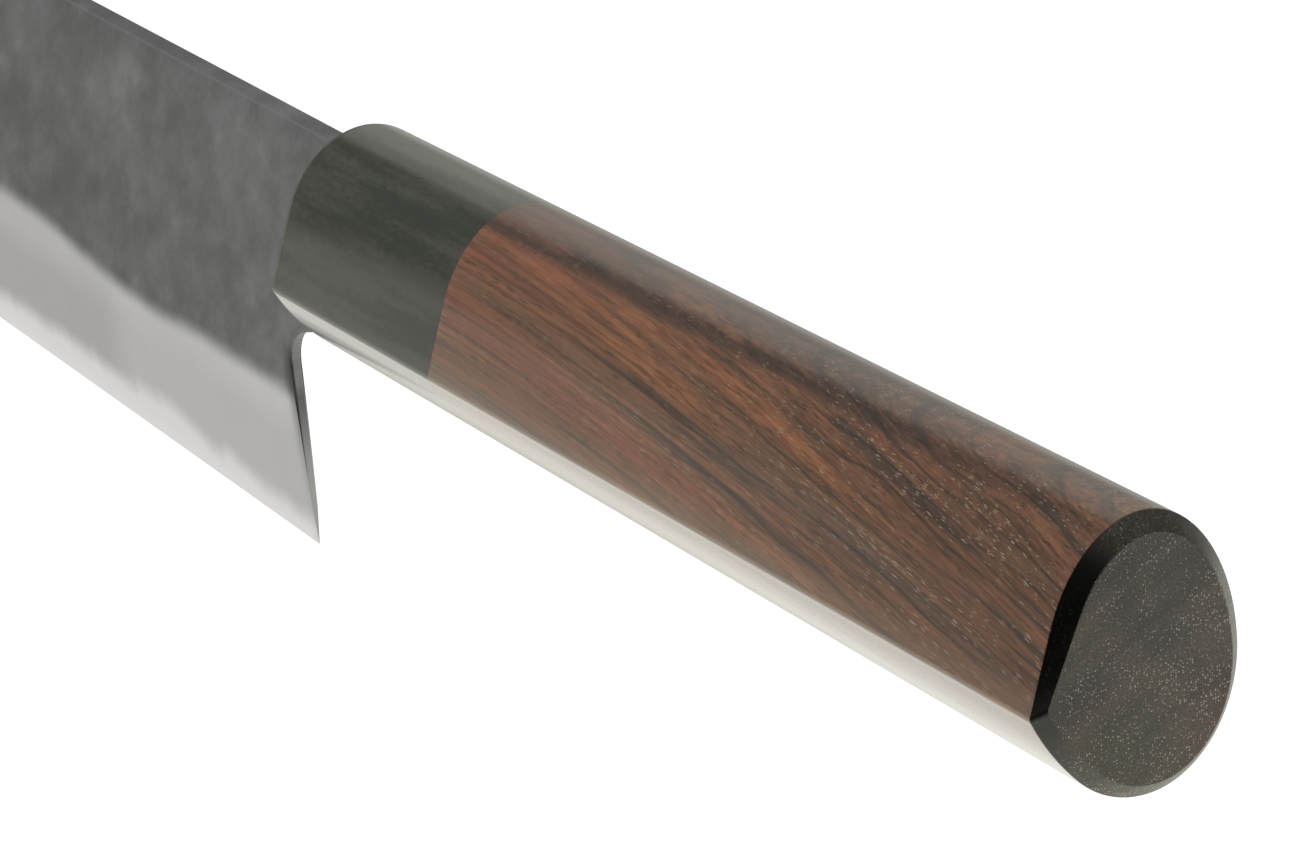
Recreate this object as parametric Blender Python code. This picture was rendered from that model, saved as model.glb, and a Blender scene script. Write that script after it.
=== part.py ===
"""A santoku kitchen knife: a three-layer blade with a stick tang in a chestnut-section wooden handle.

Metres, +Z up. The knife stands on its edge: the tip points to -X, the handle's ridge to -Y and the
spine to +Z. The origin is the middle of the butt's flat end face, on the blade's centre plane.
"""
import math

import bmesh
import bpy
from mathutils import Matrix, Vector

# Handle and ferrule
BUTT_HEIGHT = 0.0250
FRONT_HEIGHT = 0.0229
WIDEST_BELOW_MIDDLE = 0.0014
RIGHT_HALF_WIDTH = 0.0093
LEFT_HALF_WIDTH = 0.0099
RIDGE_REACH = 0.0114
RIDGE_BELOW_WIDEST = 0.0012
FRONT_RIDGE_BELOW_WIDEST = 0.0014
RIDGE_RADIUS = 0.0008
BUTT_CHAMFER = 0.0014
BUTT_CHAMFER_WIDTH = 0.0015
BUTT_RIDGE_INSET = 0.0008
BUTT_RIDGE_LIFT = 0.0010
WOOD_LENGTH = 0.0991
FERRULE_LENGTH = 0.0314
FERRULE_EDGE_RADIUS = 0.0012

# Blade outline, seen from the side
EDGE_LENGTH = 0.1700
NECK_LENGTH = 0.0171
SPINE_HEIGHT = 0.0088
SPINE_SLOPE = 0.008
HEEL_DEPTH = 0.0386
EDGE_SLOPE = 0.044
TIP_DEPTH = 0.0245
SPINE_CURVE_LENGTH = 0.0600
SPINE_CURVE_POWER = 2.2
EDGE_CURVE_LENGTH = 0.0850
EDGE_CURVE_POWER = 2.4
CHOIL_LEAN = 0.0013
CHOIL_TOP_DEPTH = 0.0157
CHOIL_RADIUS = 0.0044
NECK_DEPTH = 0.0102
SHOULDER_RADIUS = 0.0008

# Blade thickness
SPINE_THICKNESS = 0.0024
TIP_SPINE_THICKNESS = 0.0016
BEVEL_THICKNESS = 0.0013
BEVEL_HEIGHT = 0.0165
CORE_THICKNESS = 0.0006
CORE_REVEAL = 0.0040
SPINE_EASE = 0.0003

# Tang, and what holds it inside the handle
TANG_LENGTH = 0.0850
TANG_HEIGHT = 0.0090
TANG_END_HEIGHT = 0.0055
TANG_END_RADIUS = 0.0015
DOWEL_DIAMETER = 0.0130
DOWEL_IN_WOOD = 0.0220
DOWEL_EDGE = 0.0006
FERRULE_FRONT_WALL = 0.0030
MOUTH_MARGIN_HEIGHT = 0.0017
MOUTH_MARGIN_WIDTH = 0.0013
MOUTH_CORNER_RADIUS = 0.0008
SEAL_RECESS = 0.0004
TANG_HOLE_DIAMETER = 0.0110
RESIN_PAST_TANG = 0.0040

# Clearances
FIT = 0.0003
CUTTER_MARGIN = 0.0020

# Mesh fineness
OVAL_POINTS = 60
RIDGE_POINTS = 7
CORNER_STEPS = 6
ROUND_POINTS = 48
CURVED_STATIONS = 24
STRAIGHT_STATIONS = 5
TIP_CROWDING = 1.5
MERGE_DISTANCE = 1e-6
SHARP_ANGLE = math.radians(24)

# Places along the knife
WOOD_FRONT = -WOOD_LENGTH
FERRULE_FRONT = WOOD_FRONT - FERRULE_LENGTH
NECK_END = FERRULE_FRONT - FIT
HEEL = FERRULE_FRONT - NECK_LENGTH
TIP = HEEL - EDGE_LENGTH
TANG_END = NECK_END + TANG_LENGTH
DOWEL_FRONT = FERRULE_FRONT + FERRULE_FRONT_WALL
DOWEL_END = WOOD_FRONT + DOWEL_IN_WOOD
TANG_HOLE_END = TANG_END + RESIN_PAST_TANG

# Colours are linear: red, green, blue
STEEL_CORE = ("core_steel", (0.62, 0.63, 0.64), 0.22, 1.0)
STEEL_JACKET = ("jacket_steel", (0.13, 0.13, 0.135), 0.55, 0.8)
HORN = ("dark_horn", (0.050, 0.052, 0.043), 0.30, 0.0)
ROSEWOOD = ("rosewood", (0.135, 0.060, 0.040), 0.38, 0.0)
PALE_WOOD = ("pale_wood", (0.55, 0.42, 0.28), 0.60, 0.0)
RESIN = ("dark_resin", (0.020, 0.018, 0.016), 0.35, 0.0)


# Outlines

def spine_line(x):
    """Height of the straight spine, before it curves down to the tip."""
    return SPINE_HEIGHT + SPINE_SLOPE * (FERRULE_FRONT - x)


def edge_line(x):
    """Height of the straight stretch of the cutting edge."""
    return -HEEL_DEPTH + EDGE_SLOPE * (HEEL - x)


def curve_share(x, length, power):
    """0 where a curved stretch starts, 1 at the tip."""
    return max(0.0, (TIP + length - x) / length) ** power


def spine_height(x):
    drop = spine_line(TIP) + TIP_DEPTH
    return spine_line(x) - drop * curve_share(x, SPINE_CURVE_LENGTH, SPINE_CURVE_POWER)


def edge_height(x):
    rise = -TIP_DEPTH - edge_line(TIP)
    return edge_line(x) + rise * curve_share(x, EDGE_CURVE_LENGTH, EDGE_CURVE_POWER)


def blade_height(x):
    return spine_height(x) - edge_height(x)


def side_half_thickness(x, z):
    """The flat of the blade: one plane that closes in towards the tip and towards the edge."""
    distal = (SPINE_THICKNESS - TIP_SPINE_THICKNESS) / 2 / EDGE_LENGTH
    flat_height = spine_line(HEEL) - edge_line(HEEL) - BEVEL_HEIGHT
    flank = (SPINE_THICKNESS - BEVEL_THICKNESS) / 2 / flat_height
    return SPINE_THICKNESS / 2 - distal * max(0.0, HEEL - x) - flank * (spine_line(x) - z)


def half_thickness(x, z):
    """Half the blade's thickness: the flat, then the bevel, then the steeper bare core at the edge."""
    height = z - edge_height(x)
    if height >= BEVEL_HEIGHT:
        return side_half_thickness(x, z)
    core = CORE_THICKNESS / 2
    if height <= CORE_REVEAL:
        return core * height / CORE_REVEAL
    bevel_top = side_half_thickness(x, edge_height(x) + BEVEL_HEIGHT)
    share = (height - CORE_REVEAL) / (BEVEL_HEIGHT - CORE_REVEAL)
    return core + (bevel_top - core) * share


def where_blade_is(height):
    """The place near the tip where the blade is this high."""
    low = TIP
    high = TIP + SPINE_CURVE_LENGTH
    for _ in range(40):
        middle = (low + high) / 2
        if blade_height(middle) < height:
            low = middle
        else:
            high = middle
    return high


def blade_stations():
    """Places along the blade where its cross-section is drawn, closest together at the tip."""
    curved = []
    for i in range(CURVED_STATIONS):
        curved.append(TIP + EDGE_CURVE_LENGTH * (i / CURVED_STATIONS) ** TIP_CROWDING)
    start = TIP + EDGE_CURVE_LENGTH
    straight = []
    for i in range(STRAIGHT_STATIONS):
        straight.append(start + (HEEL - start) * i / STRAIGHT_STATIONS)
    ends = [HEEL, FERRULE_FRONT, TANG_END]
    turns = [where_blade_is(CORE_REVEAL), where_blade_is(BEVEL_HEIGHT)]
    return sorted(curved + straight + ends + turns)


def handle_section(x, inset=0.0, ridge_inset=0.0, ridge_lift=0.0):
    """The chestnut outline at x: an oval, drawn out on the left into one rounded ridge."""
    share = x / FERRULE_FRONT
    height = BUTT_HEIGHT + (FRONT_HEIGHT - BUTT_HEIGHT) * share
    ridge_below = RIDGE_BELOW_WIDEST + (FRONT_RIDGE_BELOW_WIDEST - RIDGE_BELOW_WIDEST) * share
    middle = -WIDEST_BELOW_MIDDLE * height / BUTT_HEIGHT
    top = height / 2 - middle - inset
    bottom = height / 2 + middle - inset
    left = LEFT_HALF_WIDTH - inset
    right = RIGHT_HALF_WIDTH - inset
    apex = Vector((-(RIDGE_REACH - ridge_inset), ridge_lift - ridge_below))

    def oval(angle):
        across = right if math.cos(angle) > 0 else left
        up = top if math.sin(angle) > 0 else bottom
        return Vector((across * math.cos(angle), up * math.sin(angle)))

    def tangent_angle(up, side):
        """Where a line from the ridge's apex touches the oval."""
        out = Vector((apex.x / left, apex.y / up))
        return math.atan2(out.y, out.x) + side * math.acos(1.0 / out.length)

    upper = tangent_angle(top, -1)
    lower = tangent_angle(bottom, 1)
    sweep = (upper - lower) % math.tau
    points = [oval(lower + sweep * i / OVAL_POINTS) for i in range(OVAL_POINTS + 1)]

    to_upper = (points[-1] - apex).normalized()
    to_lower = (points[0] - apex).normalized()
    half_angle = to_upper.angle(to_lower) / 2
    centre = apex + (to_upper + to_lower).normalized() * RIDGE_RADIUS / math.sin(half_angle)
    first = apex + to_upper * RIDGE_RADIUS / math.tan(half_angle) - centre
    turn = math.pi - 2 * half_angle
    for i in range(RIDGE_POINTS):
        points.append(centre + Matrix.Rotation(turn * i / (RIDGE_POINTS - 1), 2) @ first)
    return [Vector((x, p.x, p.y + middle)) for p in points]


def rounded(corners):
    """A closed outline from (x, z, radius) corners, each with a radius turned into an arc."""
    points = []
    count = len(corners)
    for i, (x, z, radius) in enumerate(corners):
        here = Vector((x, z))
        if radius == 0:
            points.append(here)
            continue
        before = (Vector(corners[i - 1][:2]) - here).normalized()
        after = (Vector(corners[(i + 1) % count][:2]) - here).normalized()
        half_angle = before.angle(after) / 2
        centre = here + (before + after).normalized() * radius / math.sin(half_angle)
        start = here + before * radius / math.tan(half_angle) - centre
        end = here + after * radius / math.tan(half_angle) - centre
        turn = start.angle_signed(end)
        for k in range(CORNER_STEPS + 1):
            points.append(centre + Matrix.Rotation(-turn * k / CORNER_STEPS, 2) @ start)
    return points


def tang_half_height(x, grow=0.0):
    """The tang tapers from the shoulders to its end."""
    share = (x - NECK_END) / TANG_LENGTH
    return (TANG_HEIGHT + (TANG_END_HEIGHT - TANG_HEIGHT) * share) / 2 + grow


# Mesh tools

def finish_mesh(bm, name, origin, look):
    """Turns a bmesh into a named object whose origin is a point of its own."""
    bmesh.ops.remove_doubles(bm, verts=bm.verts, dist=MERGE_DISTANCE)
    bmesh.ops.dissolve_degenerate(bm, edges=bm.edges, dist=MERGE_DISTANCE)
    bmesh.ops.recalc_face_normals(bm, faces=bm.faces)
    bmesh.ops.translate(bm, vec=-Vector(origin), verts=bm.verts)
    mesh = bpy.data.meshes.new(name)
    bm.to_mesh(mesh)
    bm.free()
    obj = bpy.data.objects.new(name, mesh)
    bpy.context.scene.collection.objects.link(obj)
    obj.location = origin
    obj.parent = knife
    if look:
        mesh.materials.append(material(*look))
        mesh.shade_smooth()
        mesh.set_sharp_from_angle(angle=SHARP_ANGLE)
    else:
        obj.hide_render = True
        obj.display_type = "WIRE"
    return obj


def loft(rings):
    """A closed body through rings that have the same number of points."""
    bm = bmesh.new()
    loops = [[bm.verts.new(point) for point in ring] for ring in rings]
    count = len(rings[0])
    for first, second in zip(loops, loops[1:]):
        for i in range(count):
            j = (i + 1) % count
            bm.faces.new((first[i], first[j], second[j], second[i]))
    bm.faces.new(loops[0])
    bm.faces.new(loops[-1])
    return bm


def slab(outline, half_width):
    """An outline of x and z points, extruded to both sides of the blade's plane."""
    rings = []
    for y in (-half_width, half_width):
        rings.append([Vector((p.x, y, p.y)) for p in outline])
    return loft(rings)


def rod(start, end, radius, edge=0.0):
    """A round bar along the handle's axis, with its end edges broken by a small chamfer."""
    rings = []
    for x, r in ((start, radius - edge), (start + edge, radius), (end - edge, radius), (end, radius - edge)):
        ring = []
        for i in range(ROUND_POINTS):
            angle = math.tau * i / ROUND_POINTS
            ring.append(Vector((x, r * math.cos(angle), r * math.sin(angle))))
        rings.append(ring)
    return loft(rings)


def cut(target, cutter):
    modifier = target.modifiers.new(cutter.name, "BOOLEAN")
    modifier.operation = "DIFFERENCE"
    modifier.solver = "EXACT"
    modifier.object = cutter


def material(name, colour, roughness, metallic):
    """A plain finish, made once and shared by the pieces that have it."""
    found = bpy.data.materials.get(name)
    if found:
        return found
    made = bpy.data.materials.new(name)
    made.use_nodes = True
    shader = made.node_tree.nodes["Principled BSDF"]
    shader.inputs["Base Color"].default_value = (*colour, 1.0)
    shader.inputs["Roughness"].default_value = roughness
    shader.inputs["Metallic"].default_value = metallic
    made.diffuse_color = (*colour, 1.0)
    return made


# Blade

def core_ring(x):
    """Hard steel: flat sides, and a wedge below the lamination line that ends in the edge."""
    top = spine_height(x)
    edge = edge_height(x)
    line = min(edge + CORE_REVEAL, top)
    low = min(CORE_THICKNESS / 2, half_thickness(x, line))
    high = min(CORE_THICKNESS / 2, half_thickness(x, top))
    section = [(0.0, edge), (low, line), (high, top), (-high, top), (-low, line)]
    return [Vector((x, y, z)) for y, z in section]


def jacket_ring(x, side):
    """Soft steel: flat against the core, with the blade's flat, its bevel and the eased spine outside."""
    core = CORE_THICKNESS / 2
    top = spine_height(x)
    edge = edge_height(x)
    outer = half_thickness(x, top)
    ease = min(SPINE_EASE, (outer - core) / 2)
    below = top - ease
    line = min(edge + CORE_REVEAL, below)
    bevel = min(edge + BEVEL_HEIGHT, below)
    section = [
        (core, line),
        (max(core, half_thickness(x, bevel)), bevel),
        (max(core, half_thickness(x, below)), below),
        (max(core, outer - ease), top),
        (core, top),
    ]
    return [Vector((x, side * y, z)) for y, z in section]


def make_blade():
    """Three layers lofted along the same stations and cut to the same outline."""
    stations = blade_stations()
    jacket_end = where_blade_is(CORE_REVEAL)
    jacketed = [x for x in stations if x >= jacket_end]
    heel_point = (HEEL, 0.0, -HEEL_DEPTH)

    core = finish_mesh(loft([core_ring(x) for x in stations]), "blade_core", heel_point, STEEL_CORE)
    left = finish_mesh(
        loft([jacket_ring(x, -1) for x in jacketed]), "blade_jacket_left", heel_point, STEEL_JACKET)
    right = finish_mesh(
        loft([jacket_ring(x, 1) for x in jacketed]), "blade_jacket_right", heel_point, STEEL_JACKET)

    under = edge_line(TANG_END) - HEEL_DEPTH
    over = spine_line(TIP) + CUTTER_MARGIN
    past = TANG_END + CUTTER_MARGIN
    choil_slope = CHOIL_LEAN / (HEEL_DEPTH - CHOIL_TOP_DEPTH)
    below_heel = HEEL + choil_slope * (-HEEL_DEPTH - under)
    shoulder = tang_half_height(NECK_END)
    end = tang_half_height(TANG_END)

    choil_outline = rounded([
        (below_heel, under, 0),
        (HEEL - CHOIL_LEAN, -CHOIL_TOP_DEPTH, CHOIL_RADIUS),
        (NECK_END, -NECK_DEPTH, 0),
        (NECK_END, -shoulder, SHOULDER_RADIUS),
        (TANG_END, -end, 0),
        (past, -end, 0),
        (past, under, 0),
    ])
    top_outline = rounded([
        (NECK_END, over, 0),
        (NECK_END, shoulder, SHOULDER_RADIUS),
        (TANG_END, end, 0),
        (past, end, 0),
        (past, over, 0),
    ])
    width = SPINE_THICKNESS
    choil_cutter = finish_mesh(slab(choil_outline, width), "cutter_choil", heel_point, None)
    top_cutter = finish_mesh(slab(top_outline, width), "cutter_tang_top", heel_point, None)
    for layer in (core, left, right):
        cut(layer, choil_cutter)
        cut(layer, top_cutter)


# Handle

def tang_slot(name, front, end):
    """A cutter with the tang's own taper and thickness, larger by the fit all round."""
    outline = [
        Vector((front, -tang_half_height(front, FIT))),
        Vector((end, -tang_half_height(end, FIT))),
        Vector((end, tang_half_height(end, FIT))),
        Vector((front, tang_half_height(front, FIT))),
    ]
    return finish_mesh(slab(outline, SPINE_THICKNESS / 2 + FIT), name, (front, 0.0, 0.0), None)


def mouth_block(start, end, inset):
    """A bar with rounded corners that fills the ferrule's mouth, less an inset all round."""
    half_height = TANG_HEIGHT / 2 + MOUTH_MARGIN_HEIGHT - inset
    half_width = SPINE_THICKNESS / 2 + MOUTH_MARGIN_WIDTH - inset
    outline = rounded([
        (-half_width, -half_height, MOUTH_CORNER_RADIUS),
        (half_width, -half_height, MOUTH_CORNER_RADIUS),
        (half_width, half_height, MOUTH_CORNER_RADIUS),
        (-half_width, half_height, MOUTH_CORNER_RADIUS),
    ])
    return loft([[Vector((x, p.x, p.y)) for p in outline] for x in (start, end)])


def make_handle_body():
    """Rosewood with a chamfered butt, drilled for the dowel and then narrower for the tang."""
    flat_end = handle_section(-BUTT_CHAMFER, BUTT_CHAMFER_WIDTH, BUTT_RIDGE_INSET, BUTT_RIDGE_LIFT)
    rings = [
        handle_section(WOOD_FRONT),
        handle_section(-BUTT_CHAMFER),
        [Vector((0.0, p.y, p.z)) for p in flat_end],
    ]
    body = finish_mesh(loft(rings), "handle_body", (0.0, 0.0, 0.0), ROSEWOOD)
    front = WOOD_FRONT - CUTTER_MARGIN
    dowel_hole = rod(front, DOWEL_END + FIT, DOWEL_DIAMETER / 2 + FIT)
    tang_hole = rod(front, TANG_HOLE_END, TANG_HOLE_DIAMETER / 2)
    cut(body, finish_mesh(dowel_hole, "cutter_dowel_hole", (front, 0.0, 0.0), None))
    cut(body, finish_mesh(tang_hole, "cutter_tang_hole", (front, 0.0, 0.0), None))


def make_ferrule():
    """Dark collar with a rounded front edge, bored for the dowel, its front wall open for the tang."""
    rings = []
    for i in range(CORNER_STEPS + 1):
        angle = math.pi / 2 * i / CORNER_STEPS
        inset = FERRULE_EDGE_RADIUS * (1 - math.sin(angle))
        x = FERRULE_FRONT + FERRULE_EDGE_RADIUS * (1 - math.cos(angle))
        rings.append(handle_section(x, inset, inset))
    rings.append(handle_section(WOOD_FRONT))
    ferrule = finish_mesh(loft(rings), "ferrule", (WOOD_FRONT, 0.0, 0.0), HORN)
    bore = rod(DOWEL_FRONT - FIT, WOOD_FRONT + CUTTER_MARGIN, DOWEL_DIAMETER / 2 + FIT)
    mouth = mouth_block(FERRULE_FRONT - CUTTER_MARGIN, DOWEL_FRONT + CUTTER_MARGIN, 0.0)
    cut(ferrule, finish_mesh(bore, "cutter_ferrule_bore", (DOWEL_FRONT, 0.0, 0.0), None))
    cut(ferrule, finish_mesh(mouth, "cutter_mouth", (FERRULE_FRONT, 0.0, 0.0), None))


def make_dowel():
    """Wooden dowel that joins ferrule and handle, slotted from end to end for the tang."""
    bar = rod(DOWEL_FRONT, DOWEL_END, DOWEL_DIAMETER / 2, DOWEL_EDGE)
    dowel = finish_mesh(bar, "handle_dowel", (WOOD_FRONT, 0.0, 0.0), PALE_WOOD)
    cut(dowel, tang_slot("cutter_dowel_slot", DOWEL_FRONT - CUTTER_MARGIN, DOWEL_END + CUTTER_MARGIN))


def make_tang_bedding():
    """Resin cast round the tang in the narrow hole, closed behind the tang's end."""
    start = DOWEL_END + FIT * 2
    bar = rod(start, TANG_HOLE_END - FIT, TANG_HOLE_DIAMETER / 2 - FIT)
    bedding = finish_mesh(bar, "tang_bedding", (TANG_END, 0.0, 0.0), RESIN)
    cut(bedding, tang_slot("cutter_bedding_slot", start - CUTTER_MARGIN, TANG_END + FIT))


def make_mouth_seal():
    """Resin that closes the ferrule's mouth round the tang, set a little below the front face."""
    block = mouth_block(FERRULE_FRONT + SEAL_RECESS, DOWEL_FRONT - FIT * 2, FIT)
    seal = finish_mesh(block, "mouth_seal", (FERRULE_FRONT, 0.0, 0.0), RESIN)
    cut(seal, tang_slot("cutter_seal_slot", FERRULE_FRONT - CUTTER_MARGIN, DOWEL_FRONT + CUTTER_MARGIN))


for old in list(bpy.data.objects):
    bpy.data.objects.remove(old)

knife = bpy.data.objects.new("knife", None)
bpy.context.scene.collection.objects.link(knife)

make_blade()
make_ferrule()
make_handle_body()
make_dowel()
make_tang_bedding()
make_mouth_seal()
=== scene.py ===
"""Looks of the santoku knife: its fine meshes and materials, a plain studio and the photograph's camera.

Metres, in the part's own frame: the tip points to -X, the spine to +Z and the handle's ridge to -Y.
Object coordinates of every piece are the part's own coordinates, so patterns run on across pieces.
"""

import math
from functools import partial, reduce

import bmesh
import bpy
from mathutils import Matrix, Vector


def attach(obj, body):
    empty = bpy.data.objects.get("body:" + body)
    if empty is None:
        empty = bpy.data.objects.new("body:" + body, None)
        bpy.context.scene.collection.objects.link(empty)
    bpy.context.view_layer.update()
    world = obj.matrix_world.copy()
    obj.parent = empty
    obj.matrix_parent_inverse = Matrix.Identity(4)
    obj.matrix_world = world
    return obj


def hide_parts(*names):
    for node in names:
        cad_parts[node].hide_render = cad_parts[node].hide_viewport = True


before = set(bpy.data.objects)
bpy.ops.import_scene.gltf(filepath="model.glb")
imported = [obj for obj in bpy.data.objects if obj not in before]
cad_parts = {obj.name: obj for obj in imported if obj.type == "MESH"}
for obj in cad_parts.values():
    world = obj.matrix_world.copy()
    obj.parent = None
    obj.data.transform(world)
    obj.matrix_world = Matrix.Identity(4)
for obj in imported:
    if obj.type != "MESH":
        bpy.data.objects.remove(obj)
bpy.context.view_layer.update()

# Camera, as fitted to the photograph's outlines
CAMERA_PLACE = Vector((0.374054, -0.259008, 0.207825))
CAMERA_YAW = math.radians(29.80983)
CAMERA_PITCH = math.radians(22.19479)
CAMERA_ROLL = math.radians(4.48937)
SENSOR_WIDTH = 36.0
PHOTO_WIDTH = 1304
FOCAL_PIXELS = 6200
CLIP_START = 0.01
CLIP_END = 50.0

# Studio
FLOOR_HEIGHT = -0.20
FLOOR_HALF_SIZE = 4.0
FLOOR_COLOUR = (0.90, 0.90, 0.89)
FLOOR_LIFT = 0.30
WORLD_LIGHT = 0.50

# What reflections find round the knife: the open studio, and brighter or darker patches of it, each
# a direction, the angles where it ends and where it is full, and its brightness
MIRRORED_TINT = (1.0, 0.99, 0.90)
OPEN_STUDIO = 0.34
STUDIO_PATCHES = (
    ((-0.80, 0.34, 0.50), 24, 8, 0.51),
    ((-0.80, 0.02, 0.60), 12, 4, 0.18),
    ((-0.80, -0.50, 0.25), 36, 24, 0.29),
    ((0.50, 0.07, 0.86), 45, 20, 0.30),
    ((0.56, -0.81, 0.11), 60, 30, 0.0),
)
# Pairs say where a tone starts and where it is full: by the rise, by the distance in metres, or by
# how far a direction points to a side
PALE_STUDIO = 0.60
PALE_LOW = (0.017, 0.004)
AWAY_FROM_CAMERA = (0.12, -0.03)
MIRRORED_FLOOR = 1.14
DIM_FLOOR = 0.40
FLOOR_DIMS = (0.9, 2.2)
BLADE_SIDE = (-0.83, -0.56, 0.0)
BLADE_SIDE_REACH = (0.62, 0.88)
BLADE_SIDE_FLOOR = 0.85
FAR_SIDE = (-0.87, 0.50, 0.0)
FAR_SIDE_REACH = (0.80, 0.95)
FAR_SIDE_TONE = 0.42
CAMERA_SIDE = (0.57, -0.82, 0.0)
CAMERA_SIDE_DARKENS = (0.05, 0.35)
# Each lamp's name, direction, distance, size and power
LAMPS = (
    ("key", (-0.30, -0.80, 0.62), 1.5, 1.8, 9.0),
    ("top", (-0.70, 0.30, 0.80), 1.6, 1.8, 11.0),
)

# Handle and ferrule, as in the part
BUTT_HEIGHT = 0.0250
FRONT_HEIGHT = 0.0229
WIDEST_BELOW_MIDDLE = 0.0014
RIGHT_HALF_WIDTH = 0.0093
LEFT_HALF_WIDTH = 0.0099
RIDGE_REACH = 0.0114
RIDGE_BELOW_WIDEST = 0.0012
FRONT_RIDGE_BELOW_WIDEST = 0.0014
RIDGE_RADIUS = 0.0008
BUTT_CHAMFER = 0.0014
BUTT_CHAMFER_WIDTH = 0.0015
BUTT_RIDGE_INSET = 0.0008
BUTT_RIDGE_LIFT = 0.0010
UPPER_FLANK_BULGE = 0.00002
LOWER_FLANK_BULGE = 0.00030
CHOIL_EASE = 0.0006
EASED_SHARE = 0.8
EASE_STEPS = 6
WOOD_LENGTH = 0.0991
FERRULE_LENGTH = 0.0314
FERRULE_EDGE_RADIUS = 0.0012
FERRULE_FRONT_WALL = 0.0030

# Blade, as in the part
EDGE_LENGTH = 0.1700
NECK_LENGTH = 0.0171
SPINE_HEIGHT = 0.0088
SPINE_SLOPE = 0.008
HEEL_DEPTH = 0.0386
EDGE_SLOPE = 0.044
TIP_DEPTH = 0.0245
SPINE_CURVE_LENGTH = 0.0600
SPINE_CURVE_POWER = 2.2
EDGE_CURVE_LENGTH = 0.0850
EDGE_CURVE_POWER = 2.4
CHOIL_LEAN = 0.0013
CHOIL_TOP_DEPTH = 0.0157
CHOIL_RADIUS = 0.0044
NECK_DEPTH = 0.0102
SHOULDER_RADIUS = 0.0008
SPINE_THICKNESS = 0.0024
TIP_SPINE_THICKNESS = 0.0016
BEVEL_THICKNESS = 0.0013
BEVEL_HEIGHT = 0.0165
CORE_THICKNESS = 0.0006
CORE_REVEAL = 0.0040
SPINE_EASE = 0.0003

# Tang and bores, as in the part
TANG_LENGTH = 0.0850
TANG_HEIGHT = 0.0090
TANG_END_HEIGHT = 0.0055
DOWEL_DIAMETER = 0.0130
DOWEL_IN_WOOD = 0.0220
MOUTH_MARGIN_HEIGHT = 0.0017
MOUTH_MARGIN_WIDTH = 0.0013
MOUTH_CORNER_RADIUS = 0.0008
TANG_HOLE_DIAMETER = 0.0110
RESIN_PAST_TANG = 0.0040
FIT = 0.0003

# Places along the knife
WOOD_FRONT = -WOOD_LENGTH
FERRULE_FRONT = WOOD_FRONT - FERRULE_LENGTH
NECK_END = FERRULE_FRONT - FIT
HEEL = FERRULE_FRONT - NECK_LENGTH
TIP = HEEL - EDGE_LENGTH
TANG_END = NECK_END + TANG_LENGTH

# Fine shaping that only the visual meshes have
OVAL_POINTS = 132
RIDGE_POINTS = 13
FLANK_POINTS = 11
ROUNDING_STEPS = 5
JOINT_ROUNDING = 0.00001
JOINT_SUPPORT = JOINT_ROUNDING * 3
CHAMFER_ROUNDING = 0.00012
CHAMFER_SUPPORT = CHAMFER_ROUNDING * 2
AIM_PER_BULGE = 4
CURVED_STATIONS = 60
STRAIGHT_STATIONS = 16
BEVEL_ROWS = 8
FLAT_ROWS = 6
TIP_CROWDING = 1.5
ARC_STEPS = 16
CUTTER_MARGIN = 0.0020
MERGE_DISTANCE = 1e-7
CUTTER_LIFT = MERGE_DISTANCE * 10
TINY = 1e-9
HALVINGS = 40
SHARP_ANGLE = math.radians(32)
# How much a face's normal has to point along x, y or z to be end grain, a side or the spine
END_FACING = 0.9
SIDE_FACING = 0.25
SPINE_FACING = 0.6

# Finishes: scales are repeats per metre along x, y and z, or in wood along x, y and the height in the
# log. Pairs say where something starts and where it is full, and waves their crest, length and
# height. Reliefs are depths in metres.
GLOSS_IOR = 1.5
FINE_RELIEF = 0.00001
RELIEF = 0.00002
COARSE_RELIEF = 0.00003
WHITE = (1.0, 1.0, 1.0)
BLACK = (0.0, 0.0, 0.0)
ACROSS = (0.0, 1.0, 0.0)
UP = (0.0, 0.0, 1.0)

# Rosewood: fibres and figure
FIBRE_DIP = 0.035
FIBRE_DIP_GROWTH = 0.70
FIBRE_WANDER = 0.0022
FIBRE_WANDER_SCALE = (14.0, 60.0, 60.0)
FIGURE_SCALE = (11.0, 120.0, 560.0)
STREAK_SCALE = (32.0, 900.0, 2500.0)
FIBRE_SCALE = (300.0, 2200.0, 6400.0)
WARMTH_SCALE = (16.0, 150.0, 300.0)
FIGURE_CRISP = (-0.095, -0.045)
WOOD_DARKENS = (-0.065, -0.012)
WOOD_DARK = (0.063, 0.032, 0.017)
WOOD_BROWN = (0.155, 0.060, 0.024)
WOOD_PALE = (0.240, 0.086, 0.031)
WOOD_RED = (0.180, 0.046, 0.020)
WOOD_GREYISH = (0.126, 0.066, 0.036)
THREAD_SHADE = (0.58, 0.54, 0.50)
THREAD_LIGHT = (1.40, 1.47, 1.54)

# Rosewood: crown with its dark streak of grain and painted shade, growth rings, pores and the painted sheen
# along the ridge
UPPER_HALF = (0.0, 0.004)
CROWN_WANDER = 0.0012
CROWN_WANDER_SCALE = (70.0, 0.0, 0.0)
CROWN_FRAY = 0.0025
CROWN_BORDER = (-0.0040, -0.0028)
CROWN_COLOUR = (0.030, 0.018, 0.012)
# The dark streak beside the crown: dark grain with painted shade in it
VEIN_AND_SHADE_ASIDE = 0.0034
VEIN_AND_SHADE_BORDER = (0.0012, 0.0002)
VEIN_AND_SHADE_COLOUR = (0.036, 0.018, 0.012)
WOOD_AGED = (-0.052, -0.008)
BELOW_CROWN = (0.0112, 0.0096)
AGED_COLOUR = (0.030, 0.010, 0.006)
RINGS_UP = 620.0
RINGS_ACROSS = 130.0
RING_BEND = 2.4
RING_BEND_SCALE = (40.0, 90.0, 160.0)
RING_COLOUR = (0.024, 0.014, 0.010)
CROWDING_SCALE = (20.0, 200.0, 600.0)
PALE_PORE_SCALE = (9000.0 / 17.0, 9000.0, 9000.0)
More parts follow.
